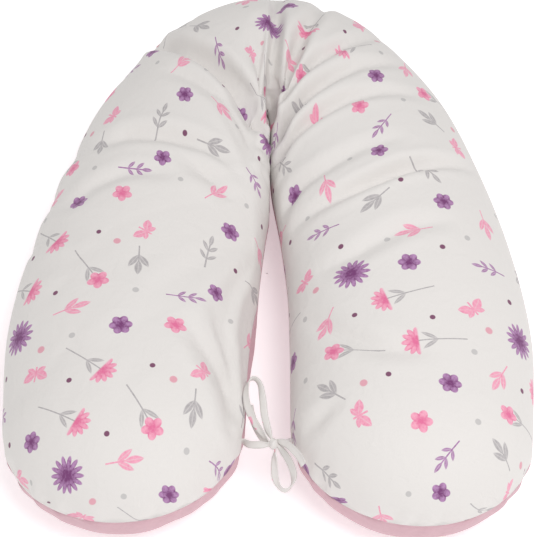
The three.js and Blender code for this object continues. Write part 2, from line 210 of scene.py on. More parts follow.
# %% [markdown]
# ## The two ties
# Each tie is a folded and sewn strip of the print cloth, about 9 mm wide, that comes out of the seam on the
# inside of an arm end. It runs to the knot, makes one loop of the bow, passes the knot again and ends in a
# short free tail. A sewn strip keeps its width upright where it is pulled tight and is pinched where it
# enters the knot. A grid laid along the route gives that, and Solidify gives the strip its two layers.

# %% Tie routes
TIE_WIDTH = 9  # mm
TIE_THICK = 1.3
KNOT = Vector((8, -328, 90))
TIE_ROOT = Vector((30.1, -315.1, 75.0))
LEFT_ROUTE = [  # x, y, z and how far the strip is rolled over, in degrees
    (-30.1, -315.1, 75, 0),
    (-27, -316, 76, -10),
    (-19, -323, 81, -40),
    (-9, -326.5, 86, -45),
    (1, -328, 89, -35),
    (6, -326, 93, 0),
    (1, -311, 96, 50),
    (-3, -293, 99, 65),
    (-5, -273, 102, 60),
    (-8, -255, 104, 30),
    (-15, -246, 104, 0),
    (-22, -252, 103, -25),
    (-24, -269, 101, -55),
    (-20, -288, 98, -60),
    (-10, -307, 94, -45),
    (2, -324, 90, 0),
    (5, -330, 87, 0),
    (-4, -319, 84, 30),
    (-12, -303, 84, 50),
    (-18, -285, 86, 60),
    (-20, -274, 88, 55),
]
RIGHT_ROUTE = [  # x, y, z and how far the strip is rolled over, in degrees
    (30.1, -315.1, 75, 0),
    (27, -316, 76, 10),
    (21, -323, 82, 30),
    (13, -328, 88, 30),
    (10, -334, 86, 0),
    (9.5, -346, 79, -50),
    (10, -359, 70, -55),
    (14, -368, 64, -15),
    (21, -373, 62, 0),
    (28, -369, 64, 15),
    (31, -359, 70, 50),
    (27, -347, 78, 55),
    (19, -336, 85, 40),
    (11, -328, 90, 0),
    (13, -326, 93, -20),
    (22, -333, 99, -45),
    (29, -343, 105, -55),
    (36, -355, 110, -50),
    (42, -369, 112, -40),
]
STEPS_PER_POINT = 6
STEPS_ACROSS = 6
TIE_CUP = 1.1  # mm that the middle of the strip lies behind its edges


def tie_tape(name, route, print_from):
    steps = STEPS_PER_POINT * (len(route) - 1)
    points = [spline(route, i / steps) for i in range(steps + 1)]
    line = [p.to_3d() for p in points]
    along = [0.0]
    for a, b in zip(line, line[1:]):
        along.append(along[-1] + (b - a).length)
    shape = bmesh.new()
    bmesh.ops.create_grid(shape, x_segments=steps, y_segments=STEPS_ACROSS, size=1)
    pattern = shape.loops.layers.uv.new("pattern")
    flat = {}
    for vert in shape.verts:
        i = round((vert.co.x + 1) / 2 * steps)
        side = vert.co.y
        ahead = (line[min(i + 1, steps)] - line[max(i - 1, 0)]).normalized()
        thick = ahead.cross(Vector((0, 0, 1))).normalized()
        wide = thick.cross(ahead)
        roll = radians(points[i].w)
        wide = wide * math.cos(roll) + thick * math.sin(roll)
        pinch = 0.5 + 0.5 * smoothstep(3, 16, (line[i] - KNOT).length)
        cup = thick * TIE_CUP * (side * side - 0.5)
        flat[vert] = (print_from[0] + along[i] * MM, print_from[1] + side * TIE_WIDTH / 2 * MM)
        vert.co = (line[i] + wide * side * (TIE_WIDTH - 0.4) / 2 * pinch + cup) * MM
    for face in shape.faces:
        for loop in face.loops:
            loop[pattern].uv = flat[loop.vert]
    tie = add_piece(name, shape, None)
    add_modifier(tie, "SOLIDIFY", thickness=TIE_THICK * MM, offset=0)
    bake(tie)
    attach(tie, "pillow")
    return tie


tie_left = tie_tape("tie_left_tape", LEFT_ROUTE, (0.54, 0.12))
tie_right = tie_tape("tie_right_tape", RIGHT_ROUTE, (0.28, 0.09))
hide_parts("tie_left")
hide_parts("tie_right")


# %% The knot
# Pulled tight, the wrap of a bow is a small hard barrel of cloth with creases that run round it at a slant.
KNOT_HALF = (5.4, 6.4, 6.8)  # mm
KNOT_CREASE = 0.09  # depth of a crease, as a share of the knot's radius


def knot_wrap():
    shape = bmesh.new()
    bmesh.ops.create_uvsphere(shape, u_segments=28, v_segments=14, radius=1)
    pattern = shape.loops.layers.uv.new("pattern")
    for vert in shape.verts:
        round_it = math.atan2(vert.co.z, vert.co.y)
        crease = 1 + KNOT_CREASE * math.sin(4 * round_it + 3.5 * vert.co.x)
        x, y, z = vert.co
        swollen = (x * KNOT_HALF[0], y * KNOT_HALF[1] * crease, z * KNOT_HALF[2] * crease)
        vert.co = (KNOT + Vector(swollen)) * MM
    for face in shape.faces:
        for loop in face.loops:
            loop[pattern].uv = (0.125 + loop.vert.co.x, loop.vert.co.z)
    wrap = add_piece("bow_knot", shape, None)
    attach(wrap, "pillow")
    return wrap


knot = knot_wrap()
print("knot faces:", len(knot.data.polygons))

# %% [markdown]
# ## The pillow's form
# The seam runs all the way round the pillow. Pairs of points on its outer and inner side, the ribs, give the
# plan from one arm end to the bend; the other arm mirrors them. Between the ribs the seam is a smooth curve,
# round the bend it is an arc, and past the last rib the arm ends in half an ellipse. Across the pillow a
# superellipse gives the crowned section. The numbers are the CAD model's own, in millimetres, and the height
# is taken from its box.

# %% Ribs
ARM_RIBS = [  # outer x and y, inner x and y
    (-312, -311, -28, -285),
    (-325, -180, -28, -186),
    (-313, -38, -26, -98),
    (-284, 97, -17, -8),
    (-242, 220, -5, 74),
]
BEND_RIBS = [(58, -3, 150), (29, -3, 190), (0, 0, 214)]  # degrees from the middle, inner x and y
BEND_CENTRE_Y = 228.5
BEND_RADIUS = 199
CAP_LENGTH = 129
HEIGHT = (cover_top_z - cover_bottom_z) / MM
SEAM_HEIGHT = 89  # round the bend
SEAM_LIFT = -14  # how far the seam rises along the arms: it sinks there
TOP_ROUND, BOTTOM_ROUND = 2.1, 2.4  # the powers of the superellipse
FLATTEN = 1.08  # the underside is drawn this much deeper, and the table cuts it off flat
FINE_STEPS = 2000  # for measuring the middle line

left_ribs = list(ARM_RIBS)
for angle, x, y in BEND_RIBS:
    outer_x = -BEND_RADIUS * math.sin(radians(angle))
    outer_y = BEND_CENTRE_Y + BEND_RADIUS * math.cos(radians(angle))
    left_ribs.append((outer_x, outer_y, x, y))
ribs = left_ribs + [(-a, b, -c, d) for a, b, c, d in reversed(left_ribs[:-1])]
BEND_START = len(ARM_RIBS) / (len(ribs) - 1)


def seam_pair(u):
    """The seam's outer and inner points at u, in mm."""
    outer = spline([r[:2] for r in ribs], u)
    inner = spline([r[2:] for r in ribs], u)
    turn = (0.5 - u) / (0.5 - BEND_START)
    if abs(turn) <= 1:
        angle = radians(turn * BEND_RIBS[0][0])
        outer = Vector((-BEND_RADIUS * math.sin(angle), BEND_CENTRE_Y + BEND_RADIUS * math.cos(angle)))
    return outer, inner


def form_point(u, reach, across, upper):
    """A point of the form, in mm: u along the pillow, reach from 0 to 1 into the round end beyond it, across
    from -1 at the inner seam to 1 at the outer one."""
    outer, inner = seam_pair(u)
    middle, half = (outer + inner) / 2, (outer - inner) / 2
    if reach:
        nearby = seam_pair(0.02 if u < 0.5 else 0.98)
        ahead = (middle - (nearby[0] + nearby[1]) / 2).normalized()
        middle = middle + ahead * CAP_LENGTH * reach
    full = math.sqrt(max(1 - reach * reach, 0))
    side = min(abs(across) / full, 1) if full > 1e-3 else 1
    lift = SEAM_LIFT * smoothstep(0.16, 0.36, abs(u - 0.5))
    seam_z = SEAM_HEIGHT + lift
    at = middle + half * across
    if upper:
        rise = (HEIGHT - seam_z) * full**0.7 * (1 - side**TOP_ROUND) ** (1 / TOP_ROUND)
        return Vector((at.x, at.y, seam_z + rise))
    drop = seam_z * FLATTEN * full**0.6 * (1 - side**BOTTOM_ROUND) ** (1 / BOTTOM_ROUND)
    return Vector((at.x, at.y, max(seam_z - drop, 0)))


print("ribs:", len(ribs), "height, mm:", round(HEIGHT, 1))

# %% [markdown]
# ## Cutting and sewing the two panels
# A panel is a grid of small squares, like gridded pattern paper. Its rows cross the pillow and its columns
# run along it. At each arm end the grid is squeezed from a rectangle into a half disc, which keeps every
# square usable for cloth, with no pole. Each panel is laid on the form, and the flat pattern goes into its UV
# map in metres, so the print and the weave lie in the cloth as they do on the real thing. Sewing is then a
# merge of the two panels' edges.

# %% Rows and columns
CLOTH_STEP = 9.0  # mm between rows along the middle of the pillow
ACROSS = 42  # squares across a panel
CAP_ROWS = 17
PATTERN_TURN = 70  # degrees that the flat crescent turns through, end to end


def middle_of(u):
    outer, inner = seam_pair(u)
    return (outer + inner) / 2


fine = [middle_of(i / FINE_STEPS) for i in range(FINE_STEPS + 1)]
lengths = [0.0]
for a, b in zip(fine, fine[1:]):
    lengths.append(lengths[-1] + (b - a).length)
BODY_LENGTH = lengths[-1]
BODY_ROWS = round(BODY_LENGTH / CLOTH_STEP)

cap_places = [math.sin(radians(90 * i / CAP_ROWS)) for i in range(1, CAP_ROWS + 1)]
row_places = [(0.0, reach) for reach in reversed(cap_places)]
seek = 0
for i in range(BODY_ROWS + 1):
    while seek < FINE_STEPS and lengths[seek] < BODY_LENGTH * i / BODY_ROWS:
        seek += 1
    row_places.append((seek / FINE_STEPS, 0.0))
row_places += [(1.0, reach) for reach in cap_places]
ROWS = len(row_places)
print("rows:", ROWS, "middle line, mm:", round(BODY_LENGTH))


# %% One panel
def on_half_disc(reach, across):
    """Squeezes the square end of a panel into a half disc."""
    if not reach:
        return 0.0, across
    return reach * math.sqrt(1 - across**2 / 2), across * math.sqrt(1 - reach**2 / 2)


def panel_points(upper):
    """The panel laid on the form: rows of points in mm. Both panels share their places across, so their
    edges meet point for point."""
    rows = []
    for u, reach in row_places:
        row = []
        for j in range(ACROSS + 1):
            cosine = math.cos(math.pi * j / ACROSS)
            across = math.copysign(abs(cosine) ** (2 / TOP_ROUND), cosine)
            end_reach, end_across = on_half_disc(reach, across)
            row.append(form_point(u, end_reach, end_across, upper))
        rows.append(row)
    return rows


def flat_pattern(rows):
    """Where each point lies in the flat panel, in metres: the cloth's own coordinates."""
    middle = ACROSS // 2
    along = [0.0]
    for a, b in zip(rows, rows[1:]):
        along.append(along[-1] + (b[middle] - a[middle]).length)
    body = rows[CAP_ROWS]
    widths = [0.0]
    for a, b in zip(body, body[1:]):
        widths.append(widths[-1] + (b - a).length)
    half_width = widths[-1] / 2
    whole = along[-1]
    crescent = whole / radians(PATTERN_TURN)
    flat = []
    for i, (u, reach) in enumerate(row_places):
        line = []
        for j in range(ACROSS + 1):
            v = half_width - widths[j]
            s = along[i] - whole / 2
            if reach:
                edge, tip = (along[CAP_ROWS], along[0]) if u < 0.5 else (along[-1 - CAP_ROWS], along[-1])
                end_reach, end_across = on_half_disc((along[i] - edge) / (tip - edge), v / half_width)
                v = end_across * half_width
                s = edge + (tip - edge) * end_reach - whole / 2
            angle = s / crescent
            radius = crescent + v
            line.append(Vector((radius * math.sin(angle), radius * math.cos(angle) - crescent)) * MM)
        flat.append(line)
    return flat


def cut_panel(upper):
    """A grid whose squares lie on the form, with the flat pattern in its UV map."""
    points = panel_points(upper)
    flat = flat_pattern(panel_points(True))
    shape = bmesh.new()
    bmesh.ops.create_grid(shape, x_segments=ROWS - 1, y_segments=ACROSS, size=1)
    shape.verts.ensure_lookup_table()
    pattern = shape.loops.layers.uv.new("pattern")
    place = {}
    for vert in shape.verts:
        i = round((vert.co.x + 1) / 2 * (ROWS - 1))
        j = round((vert.co.y + 1) / 2 * ACROSS)
        place[vert] = (i, j)
    for face in shape.faces:
        face.material_index = 0 if upper else 1
        for loop in face.loops:
            i, j = place[loop.vert]
            loop[pattern].uv = flat[i][j]
    for vert, (i, j) in place.items():
        vert.co = points[i][j] * MM
    if upper:
        bmesh.ops.reverse_faces(shape, faces=shape.faces)
    return shape


def sewn_cover():
    """Both panels in one mesh, merged along the seam."""
    whole = cut_panel(True)
    lower = cut_panel(False)
    lower_mesh = bpy.data.meshes.new("lower_panel")
    lower.to_mesh(lower_mesh)
    lower.free()
    whole.from_mesh(lower_mesh)
    bpy.data.meshes.remove(lower_mesh)
    bmesh.ops.remove_doubles(whole, verts=whole.verts, dist=0.02 * MM)
    bmesh.ops.recalc_face_normals(whole, faces=whole.faces)
    return whole


cover_shape = sewn_cover()
open_edges = [e for e in cover_shape.edges if len(e.link_faces) != 2]
print("cover:", len(cover_shape.verts), "points,", len(open_edges), "open edges")

# %% [markdown]
# ## Filling it: a cloth simulation
# The flat crescent turns through far less than the pillow does, so when it is bent into a U there is too much
# cloth on the inside of the bend. On the real pillow that cloth stands up in folds that fan out from the
# crease. The simulation does the same: its rest shape is the flat pattern, the filling is a gentle pressure
# plus weak springs to the form, and the seam is held. The floor flattens the underside and a thin wall keeps
# the two arms apart at the crease.

# %% Folds
# Where a fold starts is chance, so the main ones are listed, each as a line in plan in mm with a depth
# and a half-width. FAN_FOLDS start deep in the crease and die out towards the outside of the bend.
# LOOSE_FOLDS lie in the open and die out at both ends.
FAN_FOLDS = [
    ([(0, 150), (3, 210), (9, 255), (13, 318), (16, 420)], 20, 8),
    ([(-4, 120), (-12, 140), (-42, 201), (-75, 243), (-120, 284), (-180, 352), (-240, 418)], 19, 13),
    ([(-12, 70), (-35, 129), (-62, 175), (-97, 204), (-150, 232)], 9, 11),
    ([(8, 190), (17, 216), (34, 249), (50, 296), (69, 342), (90, 410)], 15, 10),
    ([(6, 170), (42, 219), (72, 241), (117, 277), (165, 322)], 10, 9),
    ([(1, 110), (22, 152), (48, 175), (80, 197), (124, 224), (190, 250)], 14, 10),
    ([(1, 80), (27, 113), (69, 139), (111, 161), (153, 173), (215, 181)], 11, 9),
    ([(8, 0), (39, 29), (78, 44), (125, 67), (185, 88)], 6, 10),
    ([(-30, -318), (-38, -284), (-54, -259), (-77, -228), (-104, -190)], 11, 13),
    ([(-30, -300), (-45, -234), (-58, -201), (-66, -150)], 6, 9),
    ([(34, -328), (56, -326), (84, -312)], 5, 9),
]
LOOSE_FOLDS = [
    ([(30, -28), (95, -6), (135, 12), (175, 33), (218, 49), (275, 68)], 10, 9),
    ([(-232, 92), (-185, 108), (-130, 100), (-84, 84), (-40, 52)], 7, 12),
    ([(-45, 0), (-69, 29), (-83, 41), (-125, 79)], 6, 11),
    ([(-262, -20), (-225, 20), (-180, 36), (-120, 30)], 4, 11),
    ([(60, -120), (110, -104), (170, -70), (236, -52)], 4, 12),
    ([(40, -170), (83, -220), (129, -252), (190, -262)], 4, 12),
]
RIDGE = 0.3  # height of the swelling beside a sharp fold, as a share of the fold's depth
FOLD_FROM = SEAM_HEIGHT + 8  # mm above the table where folds begin, and where they reach their full depth
FOLD_FULL = SEAM_HEIGHT + 36


def press_in(shape, share, sharp):
    """Presses every fold into the upper panel: as a soft dent, or sharp, as where cloth meets cloth."""
    shape.normal_update()
    depths, ridges = {}, {}
    folds = [(fold, True) for fold in FAN_FOLDS] + [(fold, False) for fold in LOOSE_FOLDS]
    for (line, deep, wide), from_crease in folds:
        points = [Vector(p) for p in line]
        reach = 3 * wide
        lowest = [min(p[k] for p in line) - reach for k in (0, 1)]
        highest = [max(p[k] for p in line) + reach for k in (0, 1)]
        side = 1 if points[-1].x > 0 else -1
        for vert in shape.verts:
            x, y, z = vert.co / MM
            if z < FOLD_FROM or not (lowest[0] < x < highest[0] and lowest[1] < y < highest[1]):
                continue
            here = Vector((x, y))
            nearest, along = 1e9, 0.0
            for k, (a, b) in enumerate(zip(points, points[1:])):
                t = min(max((here - a).dot(b - a) / (b - a).length_squared, 0), 1)
                distance = (here - a.lerp(b, t)).length
                if distance < nearest:
                    nearest, along = distance, (k + t) / (len(points) - 1)
            strength = math.cos(math.pi / 2 * along) if from_crease else math.sin(math.pi * along)
            shape_across = math.exp(-nearest / wide) if sharp else math.exp(-((nearest / wide) ** 2))
            if from_crease:
                strength *= smoothstep(-3, 6, x * side) * smoothstep(4, 34, (here - points[0]).length)
            full = deep * share * max(strength, 0) ** 0.7 * smoothstep(FOLD_FROM, FOLD_FULL, z)
            depths[vert] = max(depths.get(vert, 0), full * shape_across)
            if sharp:
                ridge = RIDGE * full * math.exp(-((nearest / wide - 2) ** 2))
                ridges[vert] = max(ridges.get(vert, 0), ridge)
    for vert, depth in depths.items():
        out = (vert.normal + Vector((0, 0, 1))).normalized()
        vert.co += out * (ridges.get(vert, 0) - depth) * MM
    return depths


press_in(cover_shape, 1.0, sharp=False)
print("folds seeded:", len(FAN_FOLDS) + len(LOOSE_FOLDS))


# %% The simulation
FRAMES = 34
MOST_MOVE = 16  # mm that the cloth may leave the form by
SLACK = 1.015  # the cloth is cut this much larger than the form needs
ZIP_HALF_ANGLE = 52  # degrees
FORM_HOLD, SEAM_HOLD = 0.42, 0.62  # share of the springs' pull on the cloth and on the seam
STAND_OFF = 0.001  # m between the cloth and what it lies against
CLOTH_RULES = {
    "quality": 7,
    "mass": 0.25,  # kg a square metre
    "air_damping": 2,
    "tension_stiffness": 30,
    "compression_stiffness": 12,
    "shear_stiffness": 6,
    "bending_stiffness": 0.1,
    "use_pressure": True,
    "uniform_pressure_force": 0.6,
    "vertex_group_mass": "held",
    "pin_stiffness": 0.035,
}


def round_bend(x, y):
    """Degrees from the middle of the bend, and mm from the bend's centre."""
    dx, dy = x, y - BEND_CENTRE_Y
    return math.degrees(math.atan2(-dx, dy)), math.hypot(dx, dy)


def by_the_zip(x, y, z):
    """1 at the zip, 0 away from it."""
    angle, radius = round_bend(x, y)
    if radius < BEND_RADIUS - 25:
        return 0.0
    beside = 1 - smoothstep(ZIP_HALF_ANGLE + 3, ZIP_HALF_ANGLE + 9, abs(angle))
    return beside * (1 - smoothstep(14, 40, abs(z - SEAM_HEIGHT)))


def barrier(name, corners):
    shape = bmesh.new()
    shape.faces.new([shape.verts.new(Vector(c) * MM) for c in corners])
    piece = add_piece(name, shape, None)
    add_modifier(piece, "COLLISION")
    set_up(piece.collision, {"thickness_outer": STAND_OFF, "thickness_inner": STAND_OFF, "damping": 0.8})
    return piece


def fill_cover(cover):
    """Lets the cloth settle round its filling, and leaves the result in the mesh."""
    mesh = cover.data
    pattern = mesh.uv_layers["pattern"].data
    start = [v.co.copy() for v in mesh.vertices]
    cover.shape_key_add(name="laid on the form")
    flat = cover.shape_key_add(name="flat")
    for loop in mesh.loops:
        u, v = pattern[loop.index].uv
        flat.data[loop.vertex_index].co = Vector((u, v, 0)) * SLACK
    held = cover.vertex_groups.new(name="held")
    seam = {i for e in seam_edges(mesh) for i in e}
    for i, co in enumerate(start):
        x, y, z = co / MM
        weight = SEAM_HOLD if i in seam else FORM_HOLD
        weight = max(weight, by_the_zip(x, y, z) ** 0.5)
        from_tie = (Vector((abs(x), y, z)) - TIE_ROOT).length
        weight = max(weight, 1 - smoothstep(8, 30, from_tie))
        held.add([i], weight, "REPLACE")
    blocks = [
        barrier("table", [(-500, -600, -0.6), (500, -600, -0.6), (500, 600, -0.6), (-500, 600, -0.6)]),
        barrier("parting", [(0, -120, 0), (0, 190, 0), (0, 190, 140), (0, -120, 140)]),
    ]
    cloth = add_modifier(cover, "CLOTH")
    rules = set_up(cloth.settings, CLOTH_RULES)
    rules.rest_shape_key = flat
    rules.effector_weights.gravity = 0
    cloth.collision_settings.distance_min = 0.002
    cloth.collision_settings.use_self_collision = False
    cloth.point_cache.frame_start = 1
    cloth.point_cache.frame_end = FRAMES
    scene = bpy.context.scene
    for frame_number in range(1, FRAMES + 1):
        scene.frame_set(frame_number)
    graph = bpy.context.evaluated_depsgraph_get()
    settled = [v.co.copy() for v in cover.evaluated_get(graph).data.vertices]
    cover.modifiers.clear()
    cover.shape_key_clear()
    scene.frame_set(1)
    for block in blocks:
        bpy.data.objects.remove(block)
    farthest = 0.0
    for vert, a, b in zip(mesh.vertices, start, settled):
        move = b - a
        farthest = max(farthest, move.length)
        vert.co = a + move * min(1, MOST_MOVE * MM / max(move.length, 1e-9))
    print("cloth moved by up to, mm:", round(farthest / MM, 1))


def seam_edges(mesh):
    """The vertex pairs of the edges between the upper and the lower panel."""
    side = {}
    for face in mesh.polygons:
        for key in face.edge_keys:
            side.setdefault(key, set()).add(face.material_index)
    return [key for key, panels in side.items() if len(panels) == 2]


cover = add_piece("cover", cover_shape, None)
fill_cover(cover)

# %% [markdown]
# ## The inner pillow
# The cover comes off over an inner pillow of plain cloth that holds the fibre. Both follow the settled cover
# from inside, so each starts as a copy of it, smoothed and pulled in along its own surface. Behind the zip
# they keep clear of the slider, and under the fan of folds they sink further.

# %% Casing and filling
ZIP_ROOM = 9  # mm
CREASE_ROOM = 16
SOFT_PRESS, SHARP_PRESS = 1.9, 1.3  # shares of the folds' depths, inside and in the cover
settled_cloth = cover.data.copy()


def by_the_crease(x, y, z):
    """1 in the middle of the fold fan, where the cover dips deepest, and 0 away from it."""
    away = math.hypot(x - 4, (y - 215) / 2.2)
    return (1 - smoothstep(12, 50, away)) * smoothstep(60, 90, z)


def inside_copy(name, depth, finish):
    shape = bmesh.new()
    shape.from_mesh(settled_cloth)
    smooth = {"use_axis_x": True, "use_axis_y": True, "use_axis_z": True}
    for _ in range(3):
        bmesh.ops.smooth_vert(shape, verts=shape.verts, factor=0.5, **smooth)
    rumpled = [v for v in shape.verts if by_the_crease(*(v.co / MM)) > 0]
    for _ in range(10):
        bmesh.ops.smooth_vert(shape, verts=rumpled, factor=0.5, **smooth)
    press_in(shape, SOFT_PRESS, sharp=False)
    shape.normal_update()
    moves = []
    for vert in shape.verts:
        x, y, z = vert.co / MM
        angle, radius = round_bend(x, y)
        inward = Vector((math.sin(radians(angle)), -math.cos(radians(angle)), 0))
        sink = Vector((math.copysign(0.6, x), 0.3, -0.9)) * by_the_crease(x, y, z) * CREASE_ROOM
        moves.append((-vert.normal * depth + inward * by_the_zip(x, y, z) * ZIP_ROOM + sink) * MM)
    for vert, move in zip(shape.verts, moves):
        vert.co += move
        vert.co.z = max(vert.co.z, depth * MM)
    return add_piece(name, shape, finish)


# %% [markdown]
# ## Two panels again
# The settled cover is subdivided once, its folds are pressed sharper, and it is parted along its seam into
# its two cloths, so that each has its own material and its own thickness. Round the bend the two edges are
# drawn apart for the zip between them, and the seam at the arm ends gets its small gathers.

# %% Panels
SLOT_HALF = 5.5  # mm
EDGE_EASE = 34  # mm of cloth beside the slot that shares the shift
CLOTH_THICK = 0.6
GATHERS = 21  # waves along the seam for each radian about an arm end
GATHER_DEPTH = 1.6  # mm
GATHER_REACH = 26  # mm above and below the seam
ARM_END_X, ARM_END_Y = 170, -300

add_modifier(cover, "SUBSURF", levels=1, render_levels=1)
bake(cover)
creased = bmesh.new()
creased.from_mesh(cover.data)
sharp_folds = press_in(creased, SHARP_PRESS, sharp=True)
creased.to_mesh(cover.data)
print("creased points:", len(sharp_folds))
creased.free()


def fine_creases(shape):
    """Adds the small gathers along the seam at the arm ends."""
    shape.normal_update()
    moves = {}
    for vert in shape.verts:
        x, y, z = vert.co / MM
        if y > ARM_END_Y:
            continue
        rise = abs(z - (SEAM_HEIGHT + SEAM_LIFT))
        side = math.atan2(y - ARM_END_Y, abs(x) - ARM_END_X)
        gather = math.sin(side * GATHERS + 2 * math.sin(side * 5 + x * 0.01))
        near_seam = math.exp(-((rise / GATHER_REACH) ** 2)) * smoothstep(0, 5, rise)
        fade = near_seam * smoothstep(ARM_END_Y, ARM_END_Y - 45, y)
        moves[vert] = vert.normal * gather * GATHER_DEPTH * fade * MM
    for vert, move in moves.items():
        vert.co += move


def take_panel(name, index, finish):
    shape = bmesh.new()
    shape.from_mesh(cover.data)
    other = [f for f in shape.faces if f.material_index != index]
    bmesh.ops.delete(shape, geom=other, context="FACES")
    up = 1 if index == 0 else -1
    for vert in shape.verts:
        x, y, z = vert.co / MM
        angle, radius = round_bend(x, y)
        if abs(angle) > ZIP_HALF_ANGLE + 4 or radius < BEND_RADIUS - 40:
            continue
        opening = smoothstep(ZIP_HALF_ANGLE + 2.5, ZIP_HALF_ANGLE - 0.5, abs(angle))
        beside = max(0, 1 - abs(z - SEAM_HEIGHT) / EDGE_EASE)
        vert.co.z += up * SLOT_HALF * beside * opening * MM
    fine_creases(shape)
    for face in shape.faces:
        face.material_index = 0
    piece = add_piece(name, shape, finish)
    add_modifier(piece, "SOLIDIFY", thickness=CLOTH_THICK * MM, offset=-1)
    bake(piece)
    return piece


# %% [markdown]
# ## The print and the cloths
# Both panels are plain-woven cotton. The upper one is printed: small purple and pink flowers, sprigs, leaves,
# butterflies and dots, strewn over an off-white ground and repeated every 221 by 443 mm. A print is flat
# colour in the cloth, so it is drawn in the pattern's own coordinates, in mm, where every motif is a few
# curves: petals are a wave round a centre, and a leaf is a lens round a line. Painted prints are never even,
# so one soft noise lightens and darkens each motif.

# %% A motif's own place
REPEAT = (221.0, 443.0)  # mm, in the print's own frame
PRINT_TURN = 45  # degrees between the print's frame and the panel's
PETAL_EDGE, LEAF_EDGE = 14.0, 22.0  # how steeply the ink ends, in a motif's own size


def node_group(name, inputs, outputs):
    """An empty node group with sockets of the given kinds, and its inputs as they are seen inside."""
    group = bpy.data.node_groups.new(name, "ShaderNodeTree")
    for label, kind in inputs.items():
        group.interface.new_socket(label, in_out="INPUT", socket_type="NodeSocket" + kind)
    for label, kind in outputs.items():
        group.interface.new_socket(label, in_out="OUTPUT", socket_type="NodeSocket" + kind)
    return group, node(group, "NodeGroupInput").outputs


def place_group():
    """Moves, repeats and turns the pattern so that a motif's centre is at 0 and its size is 1."""
    sockets = {"Pattern": "Vector", "Centre": "Vector", "Turn": "Float", "Size": "Float"}
    group, given = node_group("motif_place", sockets, {"Place": "Vector"})
    corner = (REPEAT[0] / 2, REPEAT[1] / 2, 1)
    shift = {0: given["Pattern"], 1: given["Centre"]}
    moved = node(group, "ShaderNodeVectorMath", shift, operation="SUBTRACT")
    wrap = {0: moved, 1: corner, 2: tuple(-c for c in corner)}
    wrapped = node(group, "ShaderNodeVectorMath", wrap, operation="WRAP")
    angle = node(group, "ShaderNodeMath", {0: given["Turn"], 1: -math.pi / 180}, operation="MULTIPLY")
    spin = {"Vector": wrapped, "Angle": angle}
    turned = node(group, "ShaderNodeVectorRotate", spin, rotation_type="Z_AXIS")
    size = node(group, "ShaderNodeMath", {0: 1.0, 1: given["Size"]}, operation="DIVIDE")
    scaled = node(group, "ShaderNodeVectorMath", {0: turned, "Scale": size}, operation="SCALE")
    node(group, "NodeGroupOutput", {"Place": scaled})
    return group


# %% Petals
# A flower is a disc whose edge is a wave. Its tone is 1 at the heart and between petals and 0 at their tips.
def petal_group():
    sockets = {"Place": "Vector", "Waves": "Float", "Notch": "Float"}
    group, given = node_group("petals", sockets, {"Mask": "Float", "Tone": "Float"})
    xyz = node(group, "ShaderNodeSeparateXYZ", {0: given["Place"]})
    angle = node(group, "ShaderNodeMath", {0: xyz.outputs[1], 1: xyz.outputs[0]}, operation="ARCTAN2")
    turns = node(group, "ShaderNodeMath", {0: angle, 1: given["Waves"]}, operation="MULTIPLY")
    cosine = node(group, "ShaderNodeMath", {0: turns}, operation="COSINE")
    wave = node(group, "ShaderNodeMath", {0: cosine}, operation="ABSOLUTE")
    dip = node(group, "ShaderNodeMath", {0: wave, 1: 1.0}, operation="SUBTRACT")
    edge = node(group, "ShaderNodeMath", {0: dip, 1: given["Notch"], 2: 1.0}, operation="MULTIPLY_ADD")
    radius = node(group, "ShaderNodeVectorMath", {0: given["Place"]}, operation="LENGTH")
    inside = node(group, "ShaderNodeMath", {0: edge, 1: radius.outputs["Value"]}, operation="SUBTRACT")
    mask = node(group, "ShaderNodeMath", {0: inside, 1: PETAL_EDGE}, operation="MULTIPLY", use_clamp=True)
    fall = {0: radius.outputs["Value"], 1: -2.2, 2: 1.35}
    heart = node(group, "ShaderNodeMath", fall, operation="MULTIPLY_ADD")
    seams = node(group, "ShaderNodeMath", {0: dip, 1: -0.75}, operation="MULTIPLY")
    tone = node(group, "ShaderNodeMath", {0: heart, 1: seams}, operation="MAXIMUM", use_clamp=True)
    node(group, "NodeGroupOutput", {"Mask": mask, "Tone": tone})
    return group


# %% Leaves, sprigs and wings
# A leaf is a lens on a line from 0 to 1. A sprig is a stem with one leaf at its tip and pairs of leaves, and
# the two leaves of a pair are one leaf in a plane folded along the stem. A butterfly's wings are made alike.
def leaf_group():
    group, given = node_group("leaf", {"Place": "Vector", "Width": "Float"}, {"Mask": "Float"})
    xyz = node(group, "ShaderNodeSeparateXYZ", {0: given["Place"]})
    rest = node(group, "ShaderNodeMath", {0: 1.0, 1: xyz.outputs[0]}, operation="SUBTRACT")
    bow = node(group, "ShaderNodeMath", {0: xyz.outputs[0], 1: rest}, operation="MULTIPLY")
    edge = node(group, "ShaderNodeMath", {0: bow, 1: given["Width"]}, operation="MULTIPLY")
    off = node(group, "ShaderNodeMath", {0: xyz.outputs[1]}, operation="ABSOLUTE")
    inside = node(group, "ShaderNodeMath", {0: edge, 1: off}, operation="SUBTRACT")
    whole = node(group, "ShaderNodeMath", {0: inside, 1: LEAF_EDGE}, operation="MULTIPLY", use_clamp=True)
    vein = {0: off, 1: 12.0, 2: 0.52}
    beside = node(group, "ShaderNodeMath", vein, operation="MULTIPLY_ADD", use_clamp=True)
    mask = node(group, "ShaderNodeMath", {0: whole, 1: beside}, operation="MULTIPLY")
    node(group, "NodeGroupOutput", {"Mask": mask})
    return group


def fold_place(tree, place):
    """The place with its two sides laid over each other."""
    xyz = node(tree, "ShaderNodeSeparateXYZ", {0: place})
    side = node(tree, "ShaderNodeMath", {0: xyz.outputs[1]}, operation="ABSOLUTE")
    return node(tree, "ShaderNodeCombineXYZ", {0: xyz.outputs[0], 1: side})


